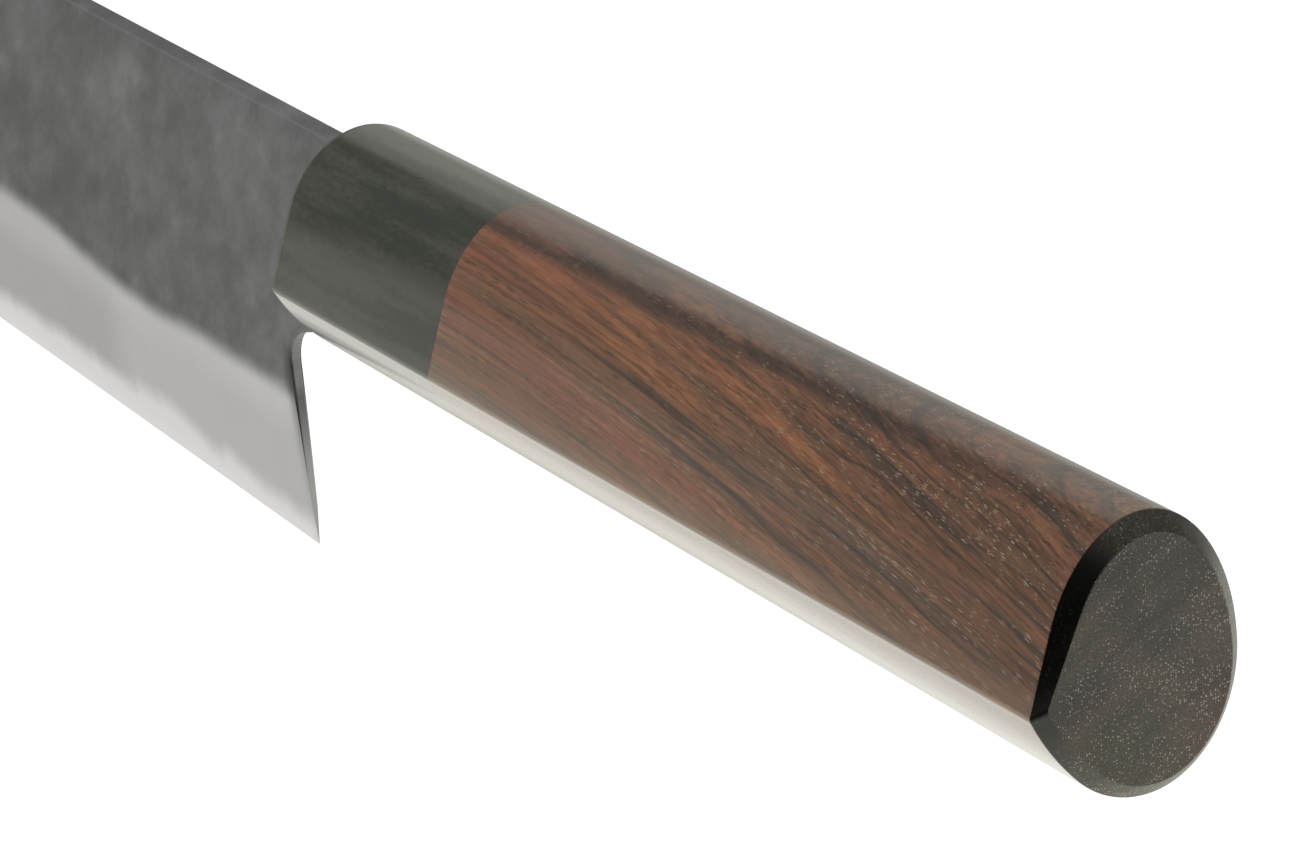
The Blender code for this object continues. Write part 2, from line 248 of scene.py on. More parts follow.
PALE_PORE_SIZE = 0.38
PALE_PORE_COLOUR = (0.35, 0.28, 0.20)
PALE_PORES_GROW = (-0.085, -0.020)
HOLLOW_ASIDE = 0.5
HOLLOW_SCALE = (5000.0 / 13.0, 5000.0, 5000.0)
HOLLOW_SIZE = 0.44
HOLLOW_COLOUR = (0.019, 0.009, 0.006)
# Painted sheen: the ridge is painted paler
RIDGE_SHEEN = (-0.0103, -0.0113)
RIDGE_SHEEN_COLOUR = (0.27, 0.20, 0.14)

# Rosewood cut across: its arcs bend up to both sides, a red and an olive zone, each with its reach
# along y and z, its colour and its strength, the pores' painted glints, and the side of the chamfer that
# gets painted shade
ARC_SLOPE = -0.45
ARC_BEND = 14.0
END_BAND_SCALE = (0.0, 40.0, 420.0)
END_CLOUD_SCALE = 160.0
END_CELL_SCALE = (3000.0, 5200.0, 5200.0)
END_DARK = (0.036, 0.034, 0.027)
END_PALE = (0.083, 0.069, 0.047)
END_ZONES = (
    ((0.0005, 0.0065), (0.0, -0.008), (0.090, 0.042, 0.026), 0.7),
    ((0.006, -0.004), (0.0, -0.007), (0.070, 0.060, 0.028), 0.6),
)
END_CROWDING_SCALE = (0.0, 260.0, 420.0)
END_CROWDING_SLOPE = 7.0
END_PORE_SCALE = (4200.0, 4200.0, 0.0)
END_PORE_SIZE = 0.30
# Pale glints painted into the pores
END_PORE_GLINT_COLOUR = (0.48, 0.45, 0.32)
PAINTED_SHADE_SIDE = (0.0, -1.5, 0.3)

# Horn
HORN_CLOUD_SCALE = (90.0, 420.0, 420.0)
HORN_STREAK_SCALE = (30.0, 420.0, 420.0)
HORN_SPECK_SCALE = (1100.0, 2400.0, 2400.0)
HORN_DARK = (0.0075, 0.0120, 0.0070)
HORN_PALE = (0.038, 0.041, 0.028)
HORN_RIM = (FERRULE_FRONT + 0.0016, FERRULE_FRONT + 0.0004)

# Forge skin: where it begins, its clouds, which lie aslant, and the painted light on its eased corner
SKIN_ABOVE_EDGE = 0.0165
SKIN_WAVE = (-0.2125, 0.062, 0.0013)
SKIN_TILT = 0.010
SKIN_TILT_PLACE = -0.181
SKIN_JITTER = 0.0007
SKIN_JITTER_SCALE = (110.0, 1.0, 1.0)
SKIN_DROP_AT_HEEL = 0.0016
NEAR_HEEL = (-0.172, -0.156)
SKIN_HAZE = 0.0004
SKIN_BORDER = (-0.0017, 0.0013)
SKIN_SLANT_Z = 1.33
SKIN_SLANT_X = 0.64
SKIN_BROAD_SCALE = 52.0
SKIN_CLOUD_SCALE = 170.0
SKIN_SPECK_SCALE = (2200.0, 2200.0, 1600.0)
SKIN_DARK = (0.147, 0.147, 0.155)
SKIN_PALE = (0.232, 0.232, 0.244)
SKIN_FLECKS = (0.32, 0.32, 0.336)
SKIN_PALES = (-0.21, -0.14)
CORNER_LIGHT_COLOUR = (0.50, 0.50, 0.52)

# Bevel, and the bright hard steel along the edge: swells say where they rise and where they fall
HAZE_SCALE = 420.0
BRUSH_SCALE = (3200.0, 400.0, 160.0)
BEVEL_CLOUD_SCALE = 190.0
BEVEL_DIMS = (-0.1855, -0.1945)
BEVEL_COLOUR = (0.520, 0.518, 0.572)
BEVEL_FORWARD_COLOUR = (0.432, 0.430, 0.474)
BEVEL_PALES = (0.0100, 0.0148)
BEVEL_UPPER_COLOUR = (0.610, 0.607, 0.668)
BRIGHT_WIDENS = (-0.1700, -0.1750)
BRIGHT_HEIGHTS = (0.0027, 0.0037)
BRIGHT_WAVE = (-0.169, 0.036, 0.0002)
PUFF_HEIGHT = 0.0018
PUFF_SCALE = (170.0, 1.0, 1.0)
SWELL_HEIGHT = 0.0007
SWELLS = (
    ((-0.1872, -0.1862), (-0.1715, -0.1800)),
    ((-0.1678, -0.1668), (-0.1590, -0.1650)),
)
BRIGHT_HAZE = 0.0008
BRIGHT_BORDER = (0.0016, -0.0016)
BRIGHT_COLOUR = (0.795, 0.792, 0.866)
BRIGHTEST_BORDER = (0.0022, 0.0002)
BRIGHTEST_COLOUR = (0.835, 0.830, 0.905)

# Choil: the painted dark reflection where the side turns into it, and its filed face
TURN_WIDENS = (-0.036, -0.020)
TURN_WIDTHS = (0.0014, 0.0024)
TURN_FADE = 0.004
TURN_DARKENS = (-0.036, -0.018)
TURN_SHADE_COLOUR = (0.075, 0.075, 0.079)
CHOIL_SKIN_BORDER = (-0.0010, 0.0010)
FILE_SCALE = (400.0, 250.0, 5000.0)
FILED_DARK = (0.10, 0.10, 0.105)
FILED_PALE = (0.18, 0.18, 0.189)
FILED_PALES = (-0.021, -0.033)
FILED_LOW = (0.44, 0.44, 0.46)

# Inside the handle: dark and pale colour, scale and roughness
RESIN = ((0.015, 0.013, 0.012), (0.026, 0.023, 0.020), 300.0, 0.35)
DOWEL_WOOD = ((0.42, 0.30, 0.18), (0.60, 0.47, 0.32), (60.0, 1500.0, 1500.0), 0.6)


# Node tools

class Nodes:
    """A material's or world's nodes, with short calls: values may be sockets, numbers or tuples."""

    def __init__(self, owner):
        owner.use_nodes = True
        self.owner = owner
        self.tree = owner.node_tree
        self.tree.nodes.clear()

    def add(self, kind, inputs=(), output=0, **settings):
        node = self.tree.nodes.new("ShaderNode" + kind)
        for name, value in settings.items():
            setattr(node, name, value)
        for key, value in dict(inputs).items():
            self.feed(node.inputs[key], value)
        return node.outputs[output]

    def feed(self, socket, value):
        if isinstance(value, bpy.types.NodeSocket):
            self.tree.links.new(value, socket)
        elif isinstance(value, tuple) and len(value) == 3 and socket.type == "RGBA":
            socket.default_value = (*value, 1.0)
        else:
            socket.default_value = value

    def math(self, operation, *values):
        return self.add("Math", enumerate(values), operation=operation)

    def plus(self, *values):
        return reduce(partial(self.math, "ADD"), values)

    def times(self, *values):
        return reduce(partial(self.math, "MULTIPLY"), values)

    def minus(self, first, second):
        return self.math("SUBTRACT", first, second)

    def weighed(self, *parts):
        """The sum of values, each given with its weight."""
        return self.plus(*[self.times(value, weight) for value, weight in parts])

    def centred(self, value, reach):
        """Turns 0..1 into a swing about 0 that is reach wide."""
        return self.times(self.minus(value, 0.5), reach)

    def wave(self, value, crest, length, height):
        """From height at the crest down to -height half a length away from it."""
        turn = self.times(self.plus(value, -crest), math.tau / length)
        return self.times(self.math("COSINE", turn), height)

    def share(self, value, start, end):
        """0 up to start, 1 from end on, smooth between them."""
        return self.add(
            "MapRange", {"Value": value, "From Min": start, "From Max": end},
            interpolation_type="SMOOTHSTEP")

    def between(self, value, low, high):
        """Stretches a value from 0..1 to low..high."""
        return self.add("MapRange", {"Value": value, "To Min": low, "To Max": high})

    def mix(self, share, first, second, blend="MIX"):
        inputs = {0: share, 6: first, 7: second}
        return self.add("Mix", inputs, output=2, data_type="RGBA", blend_type=blend)

    def over(self, colour, cover, *shares):
        """A colour with another one over it, as strong as the product of the shares."""
        return self.mix(self.times(*shares), colour, cover)

    def shaded(self, colour, factor):
        return self.mix(1.0, colour, factor, blend="MULTIPLY")

    def vector(self, x, y, z):
        return self.add("CombineXYZ", {"X": x, "Y": y, "Z": z})

    def scaled(self, vector, scale):
        """A vector times one number, or times one for each of its parts."""
        factors = scale if isinstance(scale, tuple) else (scale, scale, scale)
        return self.add("VectorMath", {0: vector, 1: factors}, operation="MULTIPLY")

    def place(self):
        """Object coordinates: the vector, then x, y and z."""
        whole = self.add("TexCoord", output="Object")
        return whole, *self.add("SeparateXYZ", {0: whole}).node.outputs

    def normal(self):
        return self.add("NewGeometry", output="Normal")

    def noise(self, vector, scale, detail=2.0, roughness=0.5):
        return self.add(
            "TexNoise",
            {"Vector": self.scaled(vector, scale), "Scale": 1.0, "Detail": detail, "Roughness": roughness})

    def cells(self, vector, scale, dimensions="3D"):
        """Scattered points: the distance to the nearest one, and a random number of its own."""
        inputs = {"Vector": self.scaled(vector, scale), "Scale": 1.0}
        distance = self.add("TexVoronoi", inputs, output="Distance", voronoi_dimensions=dimensions)
        return distance, self.add("SeparateColor", {0: distance.node.outputs["Color"]})

    def tint(self, tone, colour=MIRRORED_TINT):
        return tuple(tone * part for part in colour)

    def along(self, vector, direction):
        return self.add(
            "VectorMath", {0: vector, 1: tuple(direction)}, output="Value",
            operation="DOT_PRODUCT")

    def bump(self, height, distance, strength):
        return self.add("Bump", {"Height": height, "Distance": distance, "Strength": strength})

    def ray(self, kind):
        """1 for the rays of a kind, such as Camera or Glossy."""
        return self.add("LightPath", output=f"Is {kind} Ray")

    def finish(self, **looks):
        """Adds the surface shader and the output, and gives the material."""
        inputs = {
            name.replace("_", " ").title().replace("Ior", "IOR"): value for name, value in looks.items()}
        return self.put_out(self.add("BsdfPrincipled", inputs))

    def put_out(self, shader, kind="Material"):
        node = self.tree.nodes.new("ShaderNodeOutput" + kind)
        self.feed(node.inputs["Surface"], shader)
        return self.owner


def new_material(name):
    return Nodes(bpy.data.materials.new(name))


# Materials

def fibre_height(n, place, x, z):
    """Height in the log: the fibres dip towards the butt, more and more, and wander a little."""
    along = n.minus(x, WOOD_FRONT)
    drop = n.plus(n.times(along, FIBRE_DIP), n.times(along, along, FIBRE_DIP_GROWTH))
    wander = n.centred(n.noise(place, FIBRE_WANDER_SCALE), FIBRE_WANDER)
    return n.plus(z, drop, wander)


def polished(n, colour, relief, roughness, coat, coat_roughness):
    return n.finish(
        base_color=colour, roughness=roughness, ior=GLOSS_IOR, normal=relief,
        coat_weight=coat, coat_roughness=coat_roughness, coat_ior=GLOSS_IOR)


def wood_figure(n, log, broad, streak, crisp):
    """Dark to pale brown along the broad figure, with redder and greyer zones."""
    figure = n.weighed((broad, 0.65), (streak, 0.35))
    figure = n.plus(0.5, n.centred(figure, n.between(crisp, 0.75, 1.0)))
    warmth = n.noise(log, WARMTH_SCALE)
    colour = n.mix(n.share(figure, 0.38, 0.50), WOOD_DARK, WOOD_BROWN)
    colour = n.over(colour, WOOD_PALE, n.share(figure, 0.50, 0.64))
    colour = n.over(colour, WOOD_RED, n.share(warmth, 0.50, 0.70), 0.55)
    return n.over(colour, WOOD_GREYISH, n.share(warmth, 0.50, 0.34), 0.60)


def crown(n, colour, log, y, z, streak, aged):
    """The darker top of the handle and the long dark streak beside it, which is dark grain and painted
    shade. Both fade where the wood is aged.
    """
    wander = n.centred(n.noise(log, CROWN_WANDER_SCALE, detail=3.0), CROWN_WANDER)
    from_crown = n.plus(y, wander, n.centred(streak, CROWN_FRAY))
    upper = n.share(z, *UPPER_HALF)
    top = n.share(from_crown, *CROWN_BORDER)
    # The dark streak beside the crown, partly painted shade
    vein_and_shade = n.share(n.math("ABSOLUTE", n.plus(from_crown, VEIN_AND_SHADE_ASIDE)), *VEIN_AND_SHADE_BORDER)
    colour = n.over(colour, CROWN_COLOUR, top, upper, n.between(aged, 0.55, 0.20))
    colour = n.over(colour, VEIN_AND_SHADE_COLOUR, vein_and_shade, upper, n.between(aged, 0.80, 0.50))
    return n.over(colour, AGED_COLOUR, aged, n.share(z, *BELOW_CROWN), 0.16)


def rings(n, colour, log, y, height, broad, crisp):
    """Thin dark lines of the growth rings, where the broad figure is dark."""
    bend = n.times(n.noise(log, RING_BEND_SCALE), RING_BEND)
    count = n.plus(n.times(height, RINGS_UP), n.times(y, RINGS_ACROSS), bend)
    line = n.share(n.math("PINGPONG", count, 0.5), 0.12, 0.02)
    return n.over(colour, RING_COLOUR, line, n.share(broad, 0.64, 0.44), n.between(crisp, 0.25, 0.72))


def threads(n, colour, streak, fibre, crisp):
    """The contrast of the fibres, coarser and softer in front."""
    thread = n.weighed((fibre, n.between(crisp, 0.35, 0.75)), (streak, n.between(crisp, 0.65, 0.25)))
    contrast = n.mix(n.share(thread, 0.30, 0.70), THREAD_SHADE, THREAD_LIGHT)
    return n.shaded(colour, n.mix(n.between(crisp, 0.75, 1.0), WHITE, contrast))


def dashes(n, log, scale, chosen, size):
    """Short pores along the fibres: 1 inside them. The larger chosen is, the more of them there are."""
    distance, chance = n.cells(log, scale)
    radius = n.times(n.share(n.plus(chance, chosen), 0.5, 1.3), size)
    return n.share(n.minus(distance, radius), 0.05, -0.07)


def rosewood():
    """Reddish brown with soft dark veins that dip towards the butt, fine fibres and short open pores."""
    n = new_material("rosewood_figured")
    place, x, y, z = n.place()
    height = fibre_height(n, place, x, z)
    log = n.vector(x, y, height)
    broad = n.noise(log, FIGURE_SCALE)
    streak = n.noise(log, STREAK_SCALE, detail=3.0)
    fibre = n.noise(log, FIBRE_SCALE, detail=3.0)
    crisp = n.share(x, *FIGURE_CRISP)

    colour = wood_figure(n, log, broad, streak, crisp)
    colour = crown(n, colour, log, y, z, streak, n.share(x, *WOOD_AGED))
    colour = rings(n, colour, log, y, height, broad, crisp)
    colour = threads(n, colour, streak, fibre, crisp)
    colour = n.shaded(colour, n.between(n.share(x, *WOOD_DARKENS), 1.04, 0.90))

    crowding = n.noise(log, CROWDING_SCALE)
    # Pale pores, stronger towards the butt, and dark open pores
    pale_pores = dashes(n, log, PALE_PORE_SCALE, n.times(n.minus(crowding, 0.46), 2.2), PALE_PORE_SIZE)
    log_aside = n.vector(n.plus(x, HOLLOW_ASIDE), y, height)
    hollow = dashes(n, log_aside, HOLLOW_SCALE, n.times(n.minus(0.5, crowding), 1.6), HOLLOW_SIZE)
    colour = n.over(colour, HOLLOW_COLOUR, hollow, 0.75)
    colour = n.over(colour, PALE_PORE_COLOUR, pale_pores, n.between(n.share(x, *PALE_PORES_GROW), 0.20, 0.80))
    # Painted sheen: the wood along the ridge is painted paler
    colour = n.over(colour, RIDGE_SHEEN_COLOUR, n.share(y, *RIDGE_SHEEN), 0.35)

    relief = n.bump(n.weighed((pale_pores, -1.0), (hollow, -1.0), (fibre, 0.2)), FINE_RELIEF, 0.3)
    return polished(n, colour, relief, n.between(streak, 0.22, 0.34), 1.0, 0.12)


def end_pores(n, y, z, arc):
    """Pale pores in loose arcs, closest together at the lower right: 1 inside them, and their size."""
    distance, chance = n.cells(n.vector(y, z, 0.0), END_PORE_SCALE, "2D")
    crowding = n.noise(n.vector(0.0, y, arc), END_CROWDING_SCALE, detail=3.0)
    crowding = n.plus(crowding, n.times(n.minus(y, z), END_CROWDING_SLOPE))
    chosen = n.share(n.plus(chance, n.times(n.minus(crowding, 0.46), 0.8)), 0.48, 1.15)
    return n.share(n.minus(distance, n.times(chosen, END_PORE_SIZE)), 0.06, -0.06), chosen


def end_grain():
    """The same wood cut across: nearly black, with a red and an olive zone, pores in arcs painted pale as
    glints, and painted shade on the chamfer.
    """
    n = new_material("rosewood_end_grain")
    place, _, y, z = n.place()
    arc = n.plus(z, n.times(y, ARC_SLOPE), n.times(y, y, ARC_BEND))
    band = n.noise(n.vector(0.0, y, arc), END_BAND_SCALE)
    cloud = n.noise(place, END_CLOUD_SCALE, detail=3.0)
    cells = n.noise(place, END_CELL_SCALE)
    colour = n.mix(n.share(n.weighed((band, 0.5), (cloud, 0.5)), 0.38, 0.62), END_DARK, END_PALE)
    for across, down, tone, strength in END_ZONES:
        colour = n.over(colour, tone, n.share(y, *across), n.share(z, *down), strength)
    colour = n.shaded(colour, n.between(n.share(cells, 0.25, 0.75), 0.45, 1.55))

    # Painted shade: the chamfer's left side is painted nearly black and its top darker than the end,
    # standing in for the dark studio they mirror
    pores, size = end_pores(n, y, z, arc)
    normal = n.normal()
    painted_shade = n.between(n.share(n.along(normal, PAINTED_SHADE_SIDE), 0.55, 0.90), 1.0, 0.06)
    upward = n.share(n.along(normal, UP), 0.15, 0.45)
    colour = n.shaded(colour, n.times(painted_shade, n.between(upward, 1.0, 0.68)))
    # Pores painted pale as glints, dimmed under the painted shade
    pore_glints = n.times(pores, painted_shade, n.between(upward, 1.0, 0.25))
    colour = n.over(colour, END_PORE_GLINT_COLOUR, pore_glints, n.between(size, 0.35, 1.0))

    relief = n.bump(n.weighed((pores, -1.0), (cells, 0.4)), RELIEF, 0.3)
    return polished(n, colour, relief, 0.42, 0.22, 0.28)


def horn():
    """Nearly black, faintly green, mottled, with soft lengthwise streaks and a matte front rim."""
    n = new_material("dark_horn_polished")
    place, x, _, _ = n.place()
    cloud = n.noise(place, HORN_CLOUD_SCALE, detail=4.0, roughness=0.6)
    streak = n.noise(place, HORN_STREAK_SCALE, detail=3.0)
    speck = n.noise(place, HORN_SPECK_SCALE)
    tone = n.weighed((cloud, 0.30), (streak, 0.50), (speck, 0.20))
    colour = n.mix(n.share(tone, 0.42, 0.58), HORN_DARK, HORN_PALE)
    rim = n.share(x, *HORN_RIM)
    relief = n.bump(n.plus(streak, n.times(speck, 0.5)), RELIEF, 0.25)
    return polished(
        n, colour, relief, n.between(rim, 0.22, 0.60), n.between(rim, 1.0, 0.3), n.between(rim, 0.13, 0.60))


def edge_distance(n, x, z):
    """Height above the cutting edge, which is straight behind and curves up to the tip."""
    rise = -TIP_DEPTH + HEEL_DEPTH - EDGE_SLOPE * EDGE_LENGTH
    share = n.math("DIVIDE", n.minus(TIP + EDGE_CURVE_LENGTH, x), EDGE_CURVE_LENGTH)
    curve = n.math("POWER", n.math("MAXIMUM", share, 0.0), EDGE_CURVE_POWER)
    edge = n.plus(n.times(n.minus(HEEL, x), EDGE_SLOPE), n.times(curve, rise), -HEEL_DEPTH)
    return n.minus(z, edge)


def skin_height(n, place, x):
    """How far above the edge the dark skin begins: a slow wave with small irregularities."""
    tilt = n.times(n.plus(x, -SKIN_TILT_PLACE), SKIN_TILT)
    small = n.centred(n.noise(place, SKIN_JITTER_SCALE), SKIN_JITTER)
    drop = n.times(n.share(x, *NEAR_HEEL), -SKIN_DROP_AT_HEEL)
    return n.plus(SKIN_ABOVE_EDGE, n.wave(x, *SKIN_WAVE), tilt, small, drop)


def skin_tone(n, place, x, y, z):
    """Matte forge skin: cloudy dark grey with paler flecks, and the relief of its scale."""
    sloped = n.vector(x, y, n.minus(n.times(z, SKIN_SLANT_Z), n.times(x, SKIN_SLANT_X)))
    broad = n.noise(sloped, SKIN_BROAD_SCALE, detail=3.0)
    cloud = n.noise(sloped, SKIN_CLOUD_SCALE, detail=4.0, roughness=0.58)
    speck = n.noise(place, SKIN_SPECK_SCALE)
    tone = n.weighed((broad, 0.38), (cloud, 0.50), (speck, 0.12))
    colour = n.mix(n.share(tone, 0.36, 0.64), SKIN_DARK, SKIN_PALE)
    colour = n.over(colour, SKIN_FLECKS, n.share(cloud, 0.56, 0.70), n.share(broad, 0.44, 0.60), 0.4)
    colour = n.shaded(colour, n.between(n.share(x, *SKIN_PALES), 0.98, 1.14))
    return colour, n.plus(cloud, n.times(speck, 0.3))


def corner_painted_light(n, colour):
    """The colour, painted paler on the eased corner between the flat and the spine: painted light over the
    corner's dark reflection.
    """
    normal = n.normal()
    aside = n.math("ABSOLUTE", n.along(normal, ACROSS))
    corner = n.share(n.times(aside, n.along(normal, UP)), 0.10, 0.40)
    return n.over(colour, CORNER_LIGHT_COLOUR, corner, 0.28)


def bright_edge(n, place, x, height, haze):
    """1 on the bare hard steel. Its border waves, puffs and swells along the edge."""
    border = n.between(n.share(x, *BRIGHT_WIDENS), *BRIGHT_HEIGHTS)
    puffs = n.centred(n.noise(place, PUFF_SCALE, detail=3.0, roughness=0.6), PUFF_HEIGHT)
    swells = n.plus(*[n.times(n.share(x, *rises), n.share(x, *falls)) for rises, falls in SWELLS])
    border = n.plus(border, n.wave(x, *BRIGHT_WAVE), puffs, n.times(swells, SWELL_HEIGHT))
    return n.share(n.plus(n.minus(height, border), n.centred(haze, BRIGHT_HAZE)), *BRIGHT_BORDER)


def bevel_colour(n, place, x, height, bright, brushed):
    """Satin grey, dimmer forward and paler above, with the bright hard steel below."""
    cloudy = n.noise(place, BEVEL_CLOUD_SCALE, detail=3.0)
    colour = n.mix(n.share(x, *BEVEL_DIMS), BEVEL_COLOUR, BEVEL_FORWARD_COLOUR)
    upper = n.times(n.share(height, *BEVEL_PALES), n.between(n.share(x, *NEAR_HEEL), 0.60, 1.0))
    colour = n.over(colour, BEVEL_UPPER_COLOUR, upper, 0.75)
    colour = n.shaded(colour, n.plus(0.93, n.times(brushed, 0.05), n.times(cloudy, 0.09)))
    colour = n.over(colour, BRIGHT_COLOUR, bright)
    return n.over(colour, BRIGHTEST_COLOUR, bright, n.share(height, *BRIGHTEST_BORDER))


def turned(n, x, z):
    """How much painted shade darkens the side where it turns into the choil, standing in for the rounded
    corner's dark reflection, least at the heel's point.
    """
    slope = CHOIL_LEAN / (HEEL_DEPTH - CHOIL_TOP_DEPTH)
    from_choil = n.minus(HEEL - slope * HEEL_DEPTH, n.plus(x, n.times(z, slope)))
    width = n.between(n.share(z, *TURN_WIDENS), *TURN_WIDTHS)
    below_neck = n.share(z, -CHOIL_TOP_DEPTH, -CHOIL_TOP_DEPTH - TURN_FADE)
    strength = n.between(n.share(z, *TURN_DARKENS), 0.10, 0.85)
    return n.times(n.share(from_choil, width, 0.0), below_neck, strength)


def laminated_steel():
    """Both steels of the blade: dark skin above, satin bevel below it, bright hard steel at the edge."""
    n = new_material("laminated_steel")
    place, x, y, z = n.place()
    height = edge_distance(n, x, z)
    haze = n.noise(place, HAZE_SCALE, detail=3.0)
    above = n.plus(n.minus(height, skin_height(n, place, x)), n.centred(haze, SKIN_HAZE))
    skin = n.share(above, *SKIN_BORDER)
    brushed = n.noise(n.vector(x, y, height), BRUSH_SCALE)
    skin_colour, skin_relief = skin_tone(n, place, x, y, z)

    colour = bevel_colour(n, place, x, height, bright_edge(n, place, x, height, haze), brushed)
    colour = n.over(colour, skin_colour, skin)
    # Painted shade where the side turns into the choil, then painted light on the eased spine corner
    colour = corner_painted_light(n, n.over(colour, TURN_SHADE_COLOUR, turned(n, x, z)))
    relief = n.bump(n.mix(skin, n.times(brushed, 0.15), skin_relief), COARSE_RELIEF, 0.3)
    return n.finish(
        base_color=colour, roughness=n.between(skin, 0.30, 0.58), metallic=n.between(skin, 1.0, 0.7),
        normal=relief)


def skin_steel():
    """The forge skin alone, for the spine."""
    n = new_material("forge_skin_steel")
    colour, relief = skin_tone(n, *n.place())
    # The spine's eased corner gets painted light.
    return n.finish(
        base_color=corner_painted_light(n, colour), roughness=0.52, metallic=0.7, normal=n.bump(relief, COARSE_RELIEF, 0.5))


def choil_steel():
    """The choil's cut face: forge skin above, filed and dark below it, pale near the heel's point."""
    n = new_material("filed_choil_steel")
    place, x, y, z = n.place()
    skin = n.share(n.minus(edge_distance(n, x, z), skin_height(n, place, x)), *CHOIL_SKIN_BORDER)
    marks = n.noise(place, FILE_SCALE)
    filed = n.mix(marks, FILED_DARK, FILED_PALE)
    filed = n.over(filed, FILED_LOW, n.share(z, *FILED_PALES))
    skin_colour, _ = skin_tone(n, place, x, y, z)
    return n.finish(
        base_color=n.over(filed, skin_colour, skin), roughness=0.42, metallic=0.9,
        normal=n.bump(marks, RELIEF, 0.4))


def plain_grain(name, dark, pale, scale, roughness):
    n = new_material(name)
    grain = n.noise(n.place()[0], scale, detail=4.0)
    colour = n.mix(n.share(grain, 0.3, 0.7), dark, pale)
    return n.finish(base_color=colour, roughness=roughness, normal=n.bump(grain, COARSE_RELIEF, 0.4))


# Outlines

def spine_line(x):
    return SPINE_HEIGHT + SPINE_SLOPE * (FERRULE_FRONT - x)


def edge_line(x):
    return -HEEL_DEPTH + EDGE_SLOPE * (HEEL - x)


def curve_share(x, length, power):
    """0 where a curved stretch starts, 1 at the tip."""
    return max(0.0, (TIP + length - x) / length) ** power


def spine_height(x):
    drop = spine_line(TIP) + TIP_DEPTH
    return spine_line(x) - drop * curve_share(x, SPINE_CURVE_LENGTH, SPINE_CURVE_POWER)


def edge_height(x):
    rise = -TIP_DEPTH - edge_line(TIP)
    return edge_line(x) + rise * curve_share(x, EDGE_CURVE_LENGTH, EDGE_CURVE_POWER)


def side_half_thickness(x, z):
    """The flat of the blade: one plane that closes in towards the tip and towards the edge."""
    distal = (SPINE_THICKNESS - TIP_SPINE_THICKNESS) / 2 / EDGE_LENGTH
    flat_height = spine_line(HEEL) - edge_line(HEEL) - BEVEL_HEIGHT
    flank = (SPINE_THICKNESS - BEVEL_THICKNESS) / 2 / flat_height
    return SPINE_THICKNESS / 2 - distal * max(0.0, HEEL - x) - flank * (spine_line(x) - z)


def half_thickness(x, z):
    """Half the blade's thickness: the flat, then the bevel, then the steeper bare core at the edge."""
    height = z - edge_height(x)
    if height >= BEVEL_HEIGHT:
        return side_half_thickness(x, z)
    core = CORE_THICKNESS / 2
    if height <= CORE_REVEAL:
        return core * height / CORE_REVEAL
    bevel_top = side_half_thickness(x, edge_height(x) + BEVEL_HEIGHT)
    share = (height - CORE_REVEAL) / (BEVEL_HEIGHT - CORE_REVEAL)
    return core + (bevel_top - core) * share


def where_blade_is(height):
    """The place near the tip where the blade is this high."""
    low = TIP
    high = TIP + SPINE_CURVE_LENGTH
    for _ in range(HALVINGS):
        middle = (low + high) / 2
        if spine_height(middle) - edge_height(middle) < height:
            low = middle
        else:
            high = middle
    return high


def blade_stations():
    """Places along the blade where its cross-section is drawn, closest together at the tip."""
    start = TIP + EDGE_CURVE_LENGTH
    shares = spaced(0.0, 1.0, CURVED_STATIONS)
    curved = [TIP + EDGE_CURVE_LENGTH * share ** TIP_CROWDING for share in shares]
    straight = spaced(start, HEEL, STRAIGHT_STATIONS)
    turns = [where_blade_is(CORE_REVEAL), where_blade_is(BEVEL_HEIGHT)]
    return sorted(curved + straight + turns + [HEEL, FERRULE_FRONT, TANG_END])


def spaced(first, last, steps):
    """Values from first up to, but not including, last."""
    return [first + (last - first) * i / steps for i in range(steps)]


def flank(start, aim, end):
    """Points from start to end: the flank first heads for aim, and bends in to its end."""
    shares = spaced(0.0, 1.0, FLANK_POINTS + 1)[1:]
    return [start.lerp(aim, share) + (end - aim) * share ** 2 for share in shares]


